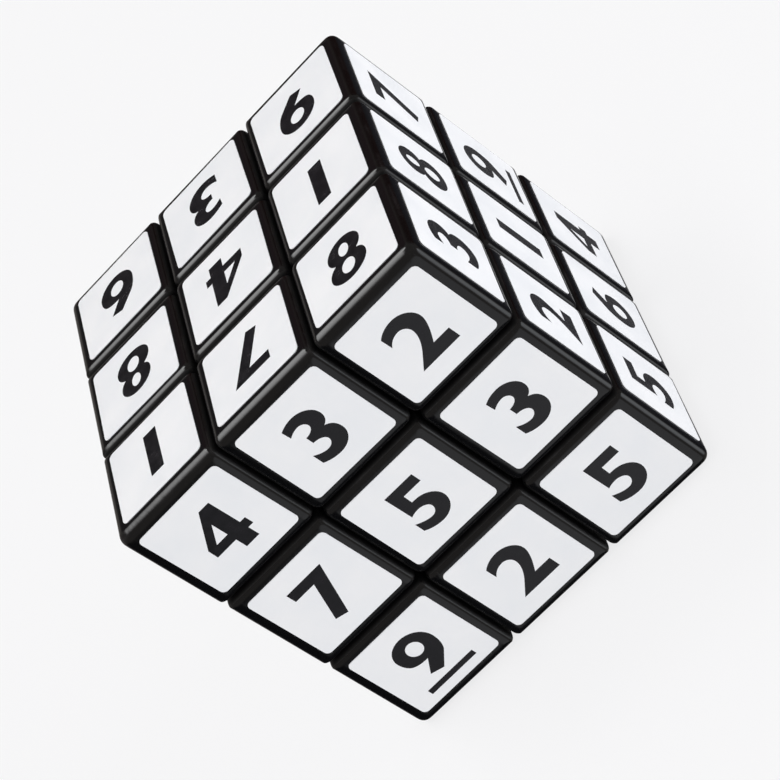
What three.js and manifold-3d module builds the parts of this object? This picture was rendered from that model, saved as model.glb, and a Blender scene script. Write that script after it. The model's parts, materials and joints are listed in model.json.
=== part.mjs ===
// A twisting number cube with three layers each way: a six-armed core, six sprung centre pieces with
// snap-on caps, twelve edge pieces and eight corner pieces. Millimetres, +Z up. The cube rests on its
// bottom face and the origin is under its middle.
//
// The pieces hold one another by feet that reach under their neighbours. Every surface where two pieces
// slide is a sphere about the cube's middle or a plane square to a face's axis, and both are unchanged
// when a face turns, so any one of the six faces can turn through any angle.
import * as THREE from "three";
import { RoundedBoxGeometry } from "three/addons/geometries/RoundedBoxGeometry.js";
import { mergeVertices } from "three/addons/utils/BufferGeometryUtils.js";
import Module from "manifold-3d";

const wasm = await Module();
wasm.setup();

// Driving sizes.
const CUBE = 57; // across two opposite faces
const LAYERS = 3;
const GAP = 0.36; // between two pieces that slide past each other
const FIXED_GAP = 0.3; // between two pieces that sit together and don't slide
const EDGE_ROUND = 1.6; // on every edge of a corner, edge or centre piece
const WALL = 1.6; // of the hollow mouldings
const CORNER_WING = 3; // how far a corner's foot reaches under the edge pieces beside it
const EDGE_WING = 1.8; // how far an edge's foot reaches under the two centres beside it
const CORNER_NECK = 6; // depth of the joint between a corner's block and its foot
const EDGE_NECK = 4.2; // the same for an edge piece
const FOOT_DEPTH = 4; // of an edge's foot under the centres, measured towards the cube's middle
const CORNER_VENT = 1.2; // radius of the core-pin hole through a corner's foot
const EDGE_VENT = 2.2; // the same for an edge piece
const CAP_HEIGHT = 4; // of a centre's cap, from its seam to the face
const PLUG_DEPTH = 2.4; // how far the cap's rim reaches into the centre's base
const WELL_FLOOR = 2.2; // thickness of the floor that the spring pushes on
const SCREW_SHANK = 1.4; // radius
const SCREW_HEAD = 2.9; // radius
const HEAD_HEIGHT = 2;
const DRIVE_WIDTH = 0.9; // of one bar of the cross recess in the screw's head
const DRIVE_LENGTH = 3.6;
const DRIVE_DEPTH = 1.1;
const SCREW_TIP = 2.6; // the screw's end, from the cube's middle
const SPRING_WIRE = 0.7; // diameter
const SPRING_RADIUS = 2.4; // to the middle of the wire
const SPRING_TURNS = 4.5;
const SPRING_PITCH = 1.45;
const CORE_HUB = 5; // radius
const CORE_ARM = 3.6; // radius

// Facets.
const BALL_SEGMENTS = 28;
const ROUND_SEGMENTS = 1; // each half of a rounded edge
const PIN_SEGMENTS = 12;
const WIRE_SEGMENTS = 6;
const COIL_SEGMENTS = 8; // per turn
const WELD = 1e-4;

// Sizes worked out from the driving sizes. All positions are measured from the cube's middle.
const HALF = CUBE / 2;
const SLIDE = GAP / 2;
const FACE_CUT = CUBE / LAYERS / 2; // between the outer blocks
const WING_CUT = FACE_CUT - CORNER_WING; // between the corner feet and what turns past them
const FOOT_CUT = WING_CUT - EDGE_WING; // between the edge feet and what turns past them
const WING_BALL = Math.hypot(FACE_CUT, FACE_CUT, FACE_CUT + CORNER_NECK);
const FOOT_BALL = Math.hypot(WING_CUT, WING_CUT + EDGE_NECK);
const CORE_BALL = FOOT_BALL - FOOT_DEPTH;
const FAR = 2 * CUBE; // well outside the cube
const WELL = SCREW_HEAD + FIXED_GAP;
const FLOOR_TOP = CORE_BALL + SLIDE + WELL_FLOOR;
const SPRING_LENGTH = SPRING_TURNS * SPRING_PITCH + SPRING_WIRE;
const HEAD_BOTTOM = FLOOR_TOP + SPRING_LENGTH + 2 * FIXED_GAP;
const HEAD_TOP = HEAD_BOTTOM + HEAD_HEIGHT;
const SEAM = HALF - CAP_HEIGHT;
const POCKET = FACE_CUT - SLIDE - WALL; // half the width of the opening that the cap's rim fills
const POCKET_FLOOR = SEAM - PLUG_DEPTH - 2 * FIXED_GAP;

const FINISHES = {
  abs: new THREE.MeshStandardMaterial({ color: 0x121214, roughness: 0.28, metalness: 0 }),
  core: new THREE.MeshStandardMaterial({ color: 0x2b2c2f, roughness: 0.5, metalness: 0 }),
  screw: new THREE.MeshStandardMaterial({ color: 0xb4b7bb, roughness: 0.32, metalness: 1 }),
  spring: new THREE.MeshStandardMaterial({ color: 0x9a9da3, roughness: 0.28, metalness: 1 }),
};

const SIDES = {
  right: new THREE.Vector3(1, 0, 0),
  left: new THREE.Vector3(-1, 0, 0),
  back: new THREE.Vector3(0, 1, 0),
  front: new THREE.Vector3(0, -1, 0),
  top: new THREE.Vector3(0, 0, 1),
  bottom: new THREE.Vector3(0, 0, -1),
};

// A geometry as a closed solid that can be added, subtracted and intersected.
function solid(geometry) {
  const bare = geometry.clone();
  bare.deleteAttribute("normal");
  bare.deleteAttribute("uv");
  const welded = mergeVertices(bare, WELD);
  return new wasm.Manifold(
    new wasm.Mesh({
      numProp: 3,
      vertProperties: welded.attributes.position.array,
      triVerts: new Uint32Array(welded.index.array),
    }),
  );
}

// A solid as a geometry for a mesh.
function shape(made) {
  const mesh = made.getMesh();
  const geometry = new THREE.BufferGeometry();
  geometry.setAttribute("position", new THREE.BufferAttribute(mesh.vertProperties, mesh.numProp));
  geometry.setIndex(new THREE.BufferAttribute(mesh.triVerts, 1));
  geometry.computeVertexNormals();
  return geometry;
}

// A block between two limits on each axis, with its edges rounded if a radius is given.
function block(limits, round = 0) {
  const sizes = limits.map(([low, high]) => high - low);
  const middles = limits.map(([low, high]) => (high + low) / 2);
  const geometry = round
    ? new RoundedBoxGeometry(...sizes, ROUND_SEGMENTS, round)
    : new THREE.BoxGeometry(...sizes);
  return solid(geometry.translate(...middles));
}

// A ball about the cube's middle whose facets all lie inside the radius.
function ballInside(radius) {
  return solid(new THREE.SphereGeometry(radius, BALL_SEGMENTS, BALL_SEGMENTS / 2));
}

// A ball about the cube's middle whose facets all lie outside the radius, for cutting.
function ballOutside(radius) {
  return ballInside(radius / Math.cos(Math.PI / BALL_SEGMENTS) ** 2);
}

// What lies between two balls, with half the sliding gap left free at each.
function shell(inner, outer) {
  return ballInside(outer - SLIDE).subtract(ballOutside(inner + SLIDE));
}

// A round bar along +Z.
function bar(radius, low, high) {
  const geometry = new THREE.CylinderGeometry(radius, radius, high - low, PIN_SEGMENTS);
  return solid(geometry.rotateX(Math.PI / 2).translate(0, 0, (low + high) / 2));
}

// A round bar from the cube's middle outwards along any direction.
function barAlong(direction, radius, low, high) {
  const geometry = new THREE.CylinderGeometry(radius, radius, high - low, PIN_SEGMENTS);
  const turn = new THREE.Quaternion().setFromUnitVectors(SIDES.back, direction.clone().normalize());
  return solid(geometry.translate(0, (low + high) / 2, 0).applyQuaternion(turn));
}

// The limits of a slot of the grid. A slot has 1 on each axis where it is in the outer layer and 0 where
// it is in the middle layer. The middle layer ends at one cut and the outer layer starts at another.
function limitsOf(slot, middleCut, outerCut, reach) {
  return slot.map((outer) =>
    outer ? [outerCut + SLIDE, reach] : [SLIDE - middleCut, middleCut - SLIDE],
  );
}

// The same limits moved inwards by a wall's thickness.
function inset(limits, wall) {
  return limits.map(([low, high]) => [low + wall, high - wall]);
}

// The block that shows on the outside of the cube.
function outerBlock(slot) {
  return block(limitsOf(slot, FACE_CUT, FACE_CUT, HALF), EDGE_ROUND);
}

// The flange under the outer blocks, and the neck that joins it to the piece's own block.
function wing(slot) {
  const flange = block(limitsOf(slot, WING_CUT, WING_CUT, FAR)).intersect(shell(FOOT_BALL, WING_BALL));
  const neck = outerBlock(slot).intersect(block(limitsOf(slot, WING_CUT, FACE_CUT, FAR)));
  return flange.add(neck.subtract(ballOutside(FOOT_BALL + SLIDE)));
}

// The foot under the flanges, and the neck that joins it to the piece's own flange.
function foot(slot) {
  const sole = block(limitsOf(slot, FOOT_CUT, FOOT_CUT, FAR)).intersect(shell(CORE_BALL, FOOT_BALL));
  const neck = block(limitsOf(slot, FOOT_CUT, WING_CUT, FAR)).intersect(shell(CORE_BALL, WING_BALL));
  return sole.add(neck);
}

function cornerPiece() {
  const slot = [1, 1, 1];
  const hollow = block(inset(limitsOf(slot, FACE_CUT, FACE_CUT, HALF), WALL));
  const vent = barAlong(new THREE.Vector3(...slot), CORNER_VENT, FOOT_BALL - GAP, HALF);
  return outerBlock(slot).add(wing(slot)).subtract(hollow).subtract(vent);
}

function edgePiece() {
  const slot = [1, 0, 1];
  const outside = outerBlock(slot).subtract(ballOutside(WING_BALL + SLIDE));
  const hollow = block(inset(limitsOf(slot, FACE_CUT, FACE_CUT, HALF), WALL)).subtract(
    ballOutside(WING_BALL + SLIDE + WALL),
  );
  const vent = barAlong(new THREE.Vector3(...slot), EDGE_VENT, CORE_BALL - GAP, HALF);
  return outside.add(wing(slot)).add(foot(slot)).subtract(hollow).subtract(vent);
}

function centreBase() {
  const slot = [0, 0, 1];
  const outside = outerBlock(slot).subtract(ballOutside(WING_BALL + SLIDE));
  const below = block([[-FAR, FAR], [-FAR, FAR], [0, SEAM - FIXED_GAP]]);
  const pocket = block([[-POCKET, POCKET], [-POCKET, POCKET], [POCKET_FLOOR, HALF]]);
  const well = bar(WELL, FLOOR_TOP, HALF);
  const hole = bar(SCREW_SHANK + FIXED_GAP, 0, HALF);
  const whole = outside.add(wing(slot)).add(foot(slot)).intersect(below);
  return whole.subtract(pocket).subtract(well).subtract(hole);
}

function centreCap() {
  const plug = POCKET - FIXED_GAP;
  const inside = plug - WALL;
  const above = block([[-FAR, FAR], [-FAR, FAR], [SEAM, FAR]]);
  const rim = block([[-plug, plug], [-plug, plug], [SEAM - PLUG_DEPTH, SEAM + WALL]]);
  const hollow = block([[-inside, inside], [-inside, inside], [0, HALF - WALL]]);
  return outerBlock([0, 0, 1]).intersect(above).add(rim).subtract(hollow);
}

function screw() {
  const dome = HEAD_HEIGHT / 2;
  const outline = [
    [0, SCREW_TIP],
    [SCREW_SHANK / 2, SCREW_TIP],
    [SCREW_SHANK, SCREW_TIP + SCREW_SHANK],
    [SCREW_SHANK, HEAD_BOTTOM],
    [SCREW_HEAD, HEAD_BOTTOM],
    [SCREW_HEAD, HEAD_TOP - dome],
    [SCREW_HEAD * 0.7, HEAD_TOP],
    [0, HEAD_TOP],
  ].map(([radius, height]) => new THREE.Vector2(radius, height));
  const body = solid(new THREE.LatheGeometry(outline, PIN_SEGMENTS).rotateX(Math.PI / 2));
  const long = DRIVE_LENGTH / 2;
  const wide = DRIVE_WIDTH / 2;
  const depth = [HEAD_TOP - DRIVE_DEPTH, HALF];
  const slot = block([[-long, long], [-wide, wide], depth]);
  const cross = block([[-wide, wide], [-long, long], depth]);
  return body.subtract(slot).subtract(cross);
}

// The middle line of a spring about +Z.
class Coil extends THREE.Curve {
  getPoint(along) {
    const angle = along * SPRING_TURNS * 2 * Math.PI;
    const height = FLOOR_TOP + FIXED_GAP + SPRING_WIRE / 2 + along * SPRING_TURNS * SPRING_PITCH;
    return new THREE.Vector3(SPRING_RADIUS * Math.cos(angle), SPRING_RADIUS * Math.sin(angle), height);
  }
}

function spring() {
  const wire = new THREE.Shape().absarc(0, 0, SPRING_WIRE / 2, 0, 2 * Math.PI);
  return solid(
    new THREE.ExtrudeGeometry(wire, {
      steps: Math.round(SPRING_TURNS * COIL_SEGMENTS),
      curveSegments: WIRE_SEGMENTS / 2,
      bevelEnabled: false,
      extrudePath: new Coil(),
    }),
  );
}

function core() {
  const reach = CORE_BALL - SLIDE;
  const arms = Object.values(SIDES).map((side) => barAlong(side, CORE_ARM, 0, FAR));
  const pilots = Object.values(SIDES).map((side) =>
    barAlong(side, SCREW_SHANK + FIXED_GAP, SCREW_TIP - FIXED_GAP, FAR),
  );
  const hub = solid(new THREE.SphereGeometry(CORE_HUB, PIN_SEGMENTS, PIN_SEGMENTS / 2));
  const spider = arms.reduce((whole, arm) => whole.add(arm), hub);
  return pilots.reduce((whole, pilot) => whole.subtract(pilot), spider.intersect(ballInside(reach)));
}

const cube = new THREE.Group();
cube.position.z = HALF;

// Adds a piece, made once and turned into its place by the axes that its own x, y and z go to.
function place(name, geometry, finish, x, y, z) {
  const mesh = new THREE.Mesh(geometry, finish);
  mesh.name = name;
  mesh.quaternion.setFromRotationMatrix(new THREE.Matrix4().makeBasis(x, y, z));
  cube.add(mesh);
}

// A piece that shows on one side, on two or on three has one call each.
function placeCentre(kind, geometry, finish, side) {
  const z = SIDES[side];
  const y = z.y === 0 ? SIDES.back : SIDES.top;
  place(`${kind}_${side}`, geometry, finish, y.clone().cross(z), y, z);
}

function placeEdge(geometry, first, second) {
  const [x, z] = [SIDES[first], SIDES[second]];
  place(`edge_${first}_${second}`, geometry, FINISHES.abs, x, z.clone().cross(x), z);
}

function placeCorner(geometry, upright, depth, across) {
  const [x, y, z] = [SIDES[across], SIDES[depth], SIDES[upright]];
  const rightHanded = x.clone().cross(y).dot(z) > 0;
  const axes = rightHanded ? [x, y, z] : [y, x, z];
  place(`corner_${upright}_${depth}_${across}`, geometry, FINISHES.abs, ...axes);
}

place("core_spider", shape(core()), FINISHES.core, SIDES.right, SIDES.back, SIDES.top);

const centrePieces = [
  ["centre_base", shape(centreBase()), FINISHES.abs],
  ["centre_cap", shape(centreCap()), FINISHES.abs],
  ["centre_screw", shape(screw()), FINISHES.screw],
  ["centre_spring", shape(spring()), FINISHES.spring],
];
for (const side of Object.keys(SIDES)) {
  for (const [kind, geometry, finish] of centrePieces) {
    placeCentre(kind, geometry, finish, side);
  }
}

const edge = shape(edgePiece());
const corner = shape(cornerPiece());
for (const upright of ["top", "bottom"]) {
  for (const across of ["right", "left", "back", "front"]) {
    placeEdge(edge, upright, across);
  }
}
for (const depth of ["front", "back"]) {
  for (const across of ["right", "left"]) {
    placeEdge(edge, depth, across);
    placeCorner(corner, "top", depth, across);
    placeCorner(corner, "bottom", depth, across);
  }
}

const part = new THREE.Group();
part.add(cube);

export default part;
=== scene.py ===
"""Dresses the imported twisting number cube: black gloss mouldings, printed labels and a pale studio.

Sizes are millimetres from the cube's middle with +Z up, as in the solids. One scale makes them metres.
"""
import json
import logging
import math
from collections.abc import Sequence
from dataclasses import dataclass
from enum import Enum
from itertools import product

import bpy
import numpy as np
from mathutils import Matrix, Vector
from mathutils.geometry import delaunay_2d_cdt

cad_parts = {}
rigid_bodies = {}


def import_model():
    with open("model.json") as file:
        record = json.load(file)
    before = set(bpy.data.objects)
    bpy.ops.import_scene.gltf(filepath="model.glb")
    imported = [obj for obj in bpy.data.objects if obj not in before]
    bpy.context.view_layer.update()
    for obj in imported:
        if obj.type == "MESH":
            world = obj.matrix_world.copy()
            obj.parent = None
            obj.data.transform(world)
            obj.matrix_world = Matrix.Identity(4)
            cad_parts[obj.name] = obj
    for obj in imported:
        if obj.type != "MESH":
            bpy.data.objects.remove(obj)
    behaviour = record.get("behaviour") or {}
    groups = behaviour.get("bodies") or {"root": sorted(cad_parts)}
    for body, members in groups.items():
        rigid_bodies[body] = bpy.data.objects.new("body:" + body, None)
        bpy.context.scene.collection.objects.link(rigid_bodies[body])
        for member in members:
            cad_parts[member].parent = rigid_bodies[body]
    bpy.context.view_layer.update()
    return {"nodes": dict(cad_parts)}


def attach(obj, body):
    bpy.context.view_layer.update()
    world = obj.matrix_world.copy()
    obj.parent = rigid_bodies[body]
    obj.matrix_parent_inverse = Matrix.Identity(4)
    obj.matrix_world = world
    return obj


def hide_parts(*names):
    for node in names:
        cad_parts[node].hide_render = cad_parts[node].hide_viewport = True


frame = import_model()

LOG = logging.getLogger("number_cube")
MM = 0.001
CUBE = 57.0  # the cube's side
LAYERS = 3
DECIMALS = 4  # places of a millimetre to which points that meet are welded
NEAR = 0.001  # points of a carved solid that lie nearer than this are one point
MIX_FROM, MIX_TO, MIXED = 6, 7, 2  # the colour sockets of a mix node
ARC = 2.0  # the power that makes a rounding a true arc
NOISE_LOW, NOISE_HIGH = 0.3, 0.7  # nearly all of a noise lies between these
INSIDE = 1  # asks a fill for the triangles that lie inside its loops

Slot = tuple[int, int, int]
Limits = list[tuple[float, float]]
Loop = np.ndarray
Colour = tuple[float, float, float, float]
NodeInputs = dict[str | int, object]


class Side(Enum):
    """A face of the cube: the way that it looks, and its right and up as seen from outside."""

    FRONT = ((0, -1, 0), (1, 0, 0), (0, 0, 1))
    RIGHT = ((1, 0, 0), (0, 1, 0), (0, 0, 1))
    TOP = ((0, 0, 1), (1, 0, 0), (0, 1, 0))
    BACK = ((0, 1, 0), (-1, 0, 0), (0, 0, 1))
    LEFT = ((-1, 0, 0), (0, -1, 0), (0, 0, 1))
    BOTTOM = ((0, 0, -1), (1, 0, 0), (0, -1, 0))

    @property
    def outward(self) -> np.ndarray:
        """The way that the face looks."""
        return np.array(self.value[0])

    @property
    def across(self) -> np.ndarray:
        """The face's right-hand direction."""
        return np.array(self.value[1])

    @property
    def upward(self) -> np.ndarray:
        """The face's up direction."""
        return np.array(self.value[2])

    @property
    def label(self) -> str:
        """The side's plain name."""
        return self.name.lower()


class Cut(Enum):
    """How one solid works on another."""

    ADD = "UNION"
    TAKE = "DIFFERENCE"
    KEEP = "INTERSECT"


class Pick(Enum):
    """Which of several values is taken."""

    LEAST = "MINIMUM"
    MOST = "MAXIMUM"


class Pen(Enum):
    """How an outline goes on to its next point."""

    LINE = "straight"
    LEVEL = "a quarter of an ellipse that leaves level and arrives upright"
    UPRIGHT = "a quarter of an ellipse that leaves upright and arrives level"
    BEND = "a parabola that leaves towards its guide point and arrives from it"


def linear(hex_colour: str) -> Colour:
    """Turns an sRGB hex colour to linear light.

    Args:
        hex_colour: Six hex digits after a hash sign.

    Returns:
        Red, green, blue and an alpha of 1.
    """
    srgb = np.array([int(hex_colour[i : i + 2], 16) / 255 for i in (1, 3, 5)])
    light = np.where(srgb <= 0.04045, srgb / 12.92, ((srgb + 0.055) / 1.055) ** 2.4)
    return (*light.tolist(), 1.0)


def add_node(
    tree: bpy.types.NodeTree, kind: str, inputs: NodeInputs | None = None, **settings: object
) -> bpy.types.Node:
    """Adds a node, gives it its settings and fills or links its inputs.

    Args:
        tree: The node tree.
        kind: Blender's name for the node.
        inputs: Values or sockets for the node's inputs, by name or number.
        settings: The node's own settings.

    Returns:
        The node.
    """
    node = tree.nodes.new(kind)
    for name, value in settings.items():
        setattr(node, name, value)
    for key, value in (inputs or {}).items():
        if isinstance(value, bpy.types.NodeSocket):
            tree.links.new(value, node.inputs[key])
        else:
            node.inputs[key].default_value = value
    return node


def per_metre(size_mm: float) -> float:
    """The texture scale that gives a pattern its real size."""
    return 1 / (size_mm * MM)


def picked(tree: bpy.types.NodeTree, vector: bpy.types.NodeSocket, pick: Pick) -> bpy.types.NodeSocket:
    """Finds the smallest or the largest of a vector's three parts, all taken as positive.

    Args:
        tree: The node tree.
        vector: The vector.
        pick: Which of them.

    Returns:
        The part.
    """
    sizes = add_node(tree, "ShaderNodeVectorMath", {0: vector}, operation="ABSOLUTE")
    x, y, z = add_node(tree, "ShaderNodeSeparateXYZ", {0: sizes.outputs[0]}).outputs
    of_two = add_node(tree, "ShaderNodeMath", {0: x, 1: y}, operation=pick.value)
    of_three = add_node(tree, "ShaderNodeMath", {0: of_two.outputs[0], 1: z}, operation=pick.value)
    return of_three.outputs[0]


@dataclass(frozen=True)
class Finish:
    """A finish: the name of the real material, its colour and how it takes light."""

    name: str
    colour: str
    roughness: float
    ior: float

    def start(self) -> tuple[bpy.types.Material, bpy.types.NodeTree, bpy.types.Node, bpy.types.Node]:
        """Starts the material.

        Returns:
            The material, its node tree, its shader with the plain values set, and its coordinates.
        """
        material = bpy.data.materials.new(self.name)
        material.use_nodes = True
        tree = material.node_tree
        tree.nodes.clear()
        shader = add_node(
            tree,
            "ShaderNodeBsdfPrincipled",
            {"Base Color": linear(self.colour), "Roughness": self.roughness, "IOR": self.ior},
        )
        add_node(tree, "ShaderNodeOutputMaterial", {"Surface": shader.outputs["BSDF"]})
        return material, tree, shader, add_node(tree, "ShaderNodeTexCoord")


@dataclass(frozen=True)
class MouldedGlossAbs(Finish):
    """Black ABS from a polished mould.

    To the eye it is a deep black with clear highlights, which a faint orange peel bends. Hands have
    dulled patches of the rounded edges, and sliding has dulled the cuts between the pieces.
    """

    name: str = "moulded_gloss_abs"
    colour: str = "#0a0a0b"
    worn_colour: str = "#2a292a"
    roughness: float = 0.13
    worn_roughness: float = 0.34
    ior: float = 1.46
    peel: float = 1.1  # width of one dimple of the orange peel
    peel_height: float = 0.01
    peel_detail: float = 2.0
    lean_start: float = 0.9  # the normal's largest part where the wear of an edge starts
    lean_full: float = 0.62  # and where it is full
    haze: float = 5.0  # width of a patch that fingers have dulled
    haze_detail: float = 5.0
    haze_start: float = 0.5  # the noise where a patch starts
    haze_full: float = 0.72  # and where it is full
    haze_most: float = 0.8
    scratch: float = 0.16  # width of a hairline scratch, drawn coarse enough to show
    scratch_length: float = 9.0
    scratch_turn: tuple[float, float, float] = (0.7, 0.4, 0.9)  # radians, so that none follows an edge
    scratch_detail: float = 1.0
    scratch_start: float = 0.7  # the noise where a scratch starts
    scratch_full: float = 0.8  # and where it is full
    scratch_most: float = 0.5
    middle_height: float = CUBE / 2
    cut: float = CUBE / LAYERS / 2  # from the cube's middle to the plane between two layers
    slide_full: float = 0.4  # this near to such a plane a piece is rubbed dull by its neighbours
    slide_end: float = 0.7  # and this far from it, not at all
    slide_roughness: float = 0.6

    def wear_share(self, tree: bpy.types.NodeTree, place: bpy.types.Node) -> bpy.types.NodeSocket:
        """Finds where hands have dulled the plastic.

        It is the share by which the normal leaves all three axes, which lies on the rounded edges,
        times a noise that breaks it into patches.

        Args:
            tree: The material's node tree.
            place: The texture coordinates.

        Returns:
            The share.
        """
        leaning = add_node(
            tree,
            "ShaderNodeMapRange",
            {
                "Value": picked(tree, place.outputs["Normal"], Pick.MOST),
                "From Min": self.lean_start,
                "From Max": self.lean_full,
            },
        )
        haze = add_node(
            tree,
            "ShaderNodeTexNoise",
            {
                "Vector": place.outputs["Object"],
                "Scale": per_metre(self.haze),
                "Detail": self.haze_detail,
            },
        )
        patches = add_node(
            tree,
            "ShaderNodeMapRange",
            {
                "Value": haze.outputs[0],
                "From Min": self.haze_start,
                "From Max": self.haze_full,
                "To Max": self.haze_most,
            },
        )
        wear = add_node(
            tree, "ShaderNodeMath", {0: leaning.outputs[0], 1: patches.outputs[0]}, operation="MULTIPLY"
        )
        return wear.outputs[0]

    def scratch_share(self, tree: bpy.types.NodeTree, place: bpy.types.Node) -> bpy.types.NodeSocket:
        """Finds the hairline scratches: the crests of a noise that is drawn out along a slanting line.

        Args:
            tree: The material's node tree.
            place: The texture coordinates.

        Returns:
            The share.
        """
        across, along = per_metre(self.scratch), per_metre(self.scratch_length)
        drawn_out = add_node(
            tree,
            "ShaderNodeMapping",
            {
                "Vector": place.outputs["Object"],
                "Rotation": self.scratch_turn,
                "Scale": (across, across, along),
            },
        )
        streaks = add_node(
            tree,
            "ShaderNodeTexNoise",
            {"Vector": drawn_out.outputs[0], "Scale": 1.0, "Detail": self.scratch_detail},
        )
        crests = add_node(
            tree,
            "ShaderNodeMapRange",
            {
                "Value": streaks.outputs[0],
                "From Min": self.scratch_start,
                "From Max": self.scratch_full,
                "To Max": self.scratch_most,
            },
        )
        return crests.outputs[0]

    def slide_share(self, tree: bpy.types.NodeTree, place: bpy.types.Node) -> bpy.types.NodeSocket:
        """Finds where a piece slides past its neighbours: near the planes between the layers.

        Args:
            tree: The material's node tree.
            place: The texture coordinates.

        Returns:
            A share, 1 in the cuts and 0 clear of them.
        """
        middle = (0.0, 0.0, self.middle_height * MM)
        planes = (self.cut * MM,) * 3
        centred = add_node(
            tree, "ShaderNodeVectorMath", {0: place.outputs["Object"], 1: middle}, operation="SUBTRACT"
        )
        out = add_node(tree, "ShaderNodeVectorMath", {0: centred.outputs[0]}, operation="ABSOLUTE")
        past = add_node(
            tree, "ShaderNodeVectorMath", {0: out.outputs[0], 1: planes}, operation="SUBTRACT"
        )
        share = add_node(
            tree,
            "ShaderNodeMapRange",
            {
                "Value": picked(tree, past.outputs[0], Pick.LEAST),
                "From Min": self.slide_end * MM,
                "From Max": self.slide_full * MM,
            },
            interpolation_type="SMOOTHSTEP",
        )
        return share.outputs[0]

    def make(self) -> bpy.types.Material:
        """Builds the material, duller where it is worn or scratched and dullest in the cuts.

        Returns:
            The material.
        """
        material, tree, shader, place = self.start()
        dull = add_node(
            tree,
            "ShaderNodeMath",
            {0: self.wear_share(tree, place), 1: self.scratch_share(tree, place)},
            operation=Pick.MOST.value,
        )
        colour = add_node(
            tree,
            "ShaderNodeMix",
            {0: dull.outputs[0], MIX_FROM: linear(self.colour), MIX_TO: linear(self.worn_colour)},
            data_type="RGBA",
        )
        gloss = add_node(
            tree,
            "ShaderNodeMapRange",
            {"Value": dull.outputs[0], "To Min": self.roughness, "To Max": self.worn_roughness},
        )
        slid = add_node(
            tree,
            "ShaderNodeMapRange",
            {
                "Value": self.slide_share(tree, place),
                "To Min": gloss.outputs[0],
                "To Max": self.slide_roughness,
            },
        )
        peel = add_node(
            tree,
            "ShaderNodeTexNoise",
            {
                "Vector": place.outputs["Object"],
                "Scale": per_metre(self.peel),
                "Detail": self.peel_detail,
            },
        )
        bump = add_node(
            tree, "ShaderNodeBump", {"Height": peel.outputs[0], "Distance": self.peel_height * MM}
        )
        tree.links.new(colour.outputs[MIXED], shader.inputs["Base Color"])
        tree.links.new(slid.outputs[0], shader.inputs["Roughness"])
        tree.links.new(bump.outputs[0], shader.inputs["Normal"])
        return material


@dataclass(frozen=True)
class SheetFinish(Finish):
    """A printed, coated or matt-moulded skin.

    To the eye it is two near shades in soft patches under a fine grain, with a sheen that follows the
    patches.
    """

    second_colour: str = "#ffffff"
    patch: float = 6.0  # width of one patch of the second shade
    patch_detail: float = 4.0
    first_end: float = 0.35  # the noise up to which the first shade is pure
    second_start: float = 0.65  # and from which the second is
    grain: float = 0.35  # drawn coarse enough to show
    grain_detail: float = 2.0
    grain_height: float = 0.0008
    sheen_range: float = 0.06

    def make(self) -> bpy.types.Material:
        """Builds the material.

        Returns:
            The material.
        """
        material, tree, shader, place = self.start()
        patches = add_node(
            tree,
            "ShaderNodeTexNoise",
            {
                "Vector": place.outputs["Object"],
                "Scale": per_metre(self.patch),
                "Detail": self.patch_detail,
            },
        )
        shades = add_node(tree, "ShaderNodeValToRGB", {"Fac": patches.outputs[0]})
        first, second = shades.color_ramp.elements
        first.position = self.first_end
        first.color = linear(self.colour)
        second.position = self.second_start
        second.color = linear(self.second_colour)
        gloss = add_node(
            tree,
            "ShaderNodeMapRange",
            {
                "Value": patches.outputs[0],
                "From Min": NOISE_LOW,
                "From Max": NOISE_HIGH,
                "To Min": self.roughness - self.sheen_range,
                "To Max": self.roughness + self.sheen_range,
            },
        )
        grain = add_node(
            tree,
            "ShaderNodeTexNoise",
            {
                "Vector": place.outputs["Object"],
                "Scale": per_metre(self.grain),
                "Detail": self.grain_detail,
            },
        )
        bump = add_node(
            tree, "ShaderNodeBump", {"Height": grain.outputs[0], "Distance": self.grain_height * MM}
        )
        tree.links.new(shades.outputs[0], shader.inputs["Base Color"])
        tree.links.new(gloss.outputs[0], shader.inputs["Roughness"])
        tree.links.new(bump.outputs[0], shader.inputs["Normal"])
        return material


@dataclass(frozen=True)
class DrawnSteel(Finish):
    """Bright steel wire or bar: to the eye a grey metal whose gleam is uneven where it was drawn."""

    ior: float = 1.5
    streak: float = 0.3  # width of one uneven spot
    streak_detail: float = 3.0
    streak_range: float = 0.1

    def make(self) -> bpy.types.Material:
        """Builds the material.

        Returns:
            The material.
        """
        material, tree, shader, place = self.start()
        streaks = add_node(
            tree,
            "ShaderNodeTexNoise",
            {
                "Vector": place.outputs["Object"],
                "Scale": per_metre(self.streak),
                "Detail": self.streak_detail,
            },
        )
        gloss = add_node(
            tree,
            "ShaderNodeMapRange",
            {
                "Value": streaks.outputs[0],
                "From Min": NOISE_LOW,
                "From Max": NOISE_HIGH,
                "To Min": self.roughness - self.streak_range,
                "To Max": self.roughness + self.streak_range,
            },
        )
        shader.inputs["Metallic"].default_value = 1.0
        tree.links.new(gloss.outputs[0], shader.inputs["Roughness"])
        return material


@dataclass(frozen=True)
class GlowingPaper(Finish):
    """The floor's paper: to the eye an even near-white with no shine, on which a shadow stays faint."""

    name: str = "pale_paper"
    colour: str = "#6c6c6c"  # the share that takes the cube's shadow
    roughness: float = 0.9
    ior: float = 1.5
    glow_colour: str = "#f5f5f6"
    glow: float = 0.86

    def make(self) -> bpy.types.Material:
        """Builds the material.

        Returns:
            The material.
        """
        material, _, shader, _ = self.start()
        shader.inputs["Specular IOR Level"].default_value = 0.0
        shader.inputs["Emission Color"].default_value = linear(self.glow_colour)
        shader.inputs["Emission Strength"].default_value = self.glow
        return material


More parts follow.
